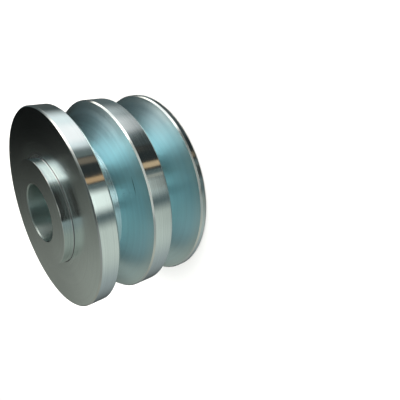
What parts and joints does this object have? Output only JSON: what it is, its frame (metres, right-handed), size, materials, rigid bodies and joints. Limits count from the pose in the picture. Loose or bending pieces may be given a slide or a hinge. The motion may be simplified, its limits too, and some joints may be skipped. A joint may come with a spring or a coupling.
{
  "type": "double v-belt pulley",
  "caption": "Turned steel pulley with V-belt grooves, a raised boss, a plain shaft bore and a deep nut recess.",
  "frame": {"origin": "centre of the recessed end face, on the bore's axis, at the bottom of the box", "axes": "+Z along the bore's axis, from the recessed end face to the boss; X and Y are free"},
  "size_m": [0.0785, 0.0784, 0.0499],
  "materials": {
    "zinc_plated_steel": "turned steel with bright zinc plating, passivated clear blue"
  },
  "bodies": {
    "root": {"pulley": "zinc_plated_steel"}
  },
  "joints": []
}
